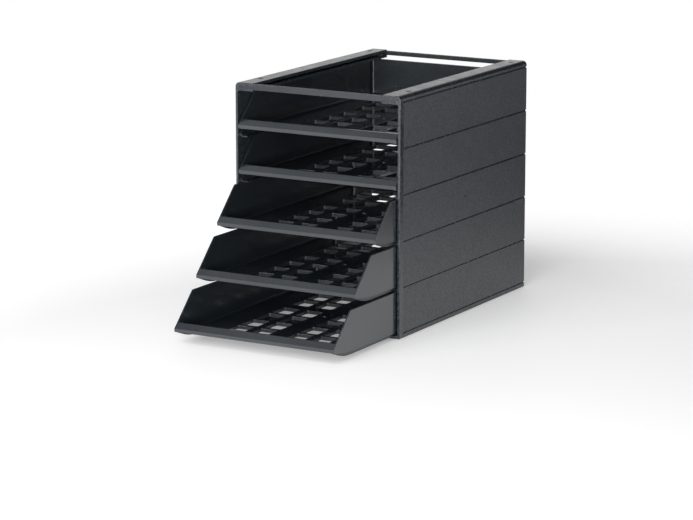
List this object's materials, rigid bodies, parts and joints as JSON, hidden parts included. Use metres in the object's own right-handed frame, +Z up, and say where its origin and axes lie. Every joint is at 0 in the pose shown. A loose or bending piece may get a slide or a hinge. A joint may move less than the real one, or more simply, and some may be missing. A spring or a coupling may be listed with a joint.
{
  "type": "desktop drawer unit",
  "caption": "Open moulded plastic case that holds sliding open-fronted paper trays with windowed floors, for letters on a desk.",
  "frame": {"origin": "on the table under the middle of the whole unit, with the trays pulled out as in the rest pose; the middle of the case lies 81.5 mm behind it", "axes": "+X to the right seen from the front, +Y towards the rear, +Z up; the trays open towards -Y"},
  "size_m": [0.25, 0.528, 0.322],
  "materials": {
    "panel_plastic": "black polystyrene, fine matte texture on the outer bands, smooth border and flanges",
    "crossbar_plastic": "smooth black polystyrene",
    "tray_plastic": "smooth glossy black polystyrene inside, satin outside",
    "foot_rubber": "soft grey-black rubber"
  },
  "bodies": {
    "case": {"left_side_panel": "panel_plastic", "right_side_panel": "panel_plastic", "top_front_crossbar": "crossbar_plastic", "top_rear_crossbar": "crossbar_plastic", "bottom_front_crossbar": "crossbar_plastic", "bottom_rear_crossbar": "crossbar_plastic", "foot_front_left": "foot_rubber", "foot_rear_left": "foot_rubber", "foot_front_right": "foot_rubber", "foot_rear_right": "foot_rubber"},
    "drawer_1": {"drawer_1": "tray_plastic"},
    "drawer_2": {"drawer_2": "tray_plastic"},
    "drawer_3": {"drawer_3": "tray_plastic"},
    "drawer_4": {"drawer_4": "tray_plastic"},
    "drawer_5": {"drawer_5": "tray_plastic"}
  },
  "joints": [
    {"name": "drawer_1_slide", "type": "slide", "parent": "case", "child": "drawer_1", "axis": [0, -1, 0], "range_m": [0, 0.26]},
    {"name": "drawer_2_slide", "type": "slide", "parent": "case", "child": "drawer_2", "axis": [0, -1, 0], "range_m": [0, 0.26]},
    {"name": "drawer_3_slide", "type": "slide", "parent": "case", "child": "drawer_3", "axis": [0, -1, 0], "range_m": [-0.055, 0.205]},
    {"name": "drawer_4_slide", "type": "slide", "parent": "case", "child": "drawer_4", "axis": [0, -1, 0], "range_m": [-0.107, 0.153]},
    {"name": "drawer_5_slide", "type": "slide", "parent": "case", "child": "drawer_5", "axis": [0, -1, 0], "range_m": [-0.161, 0.099]}
  ]
}
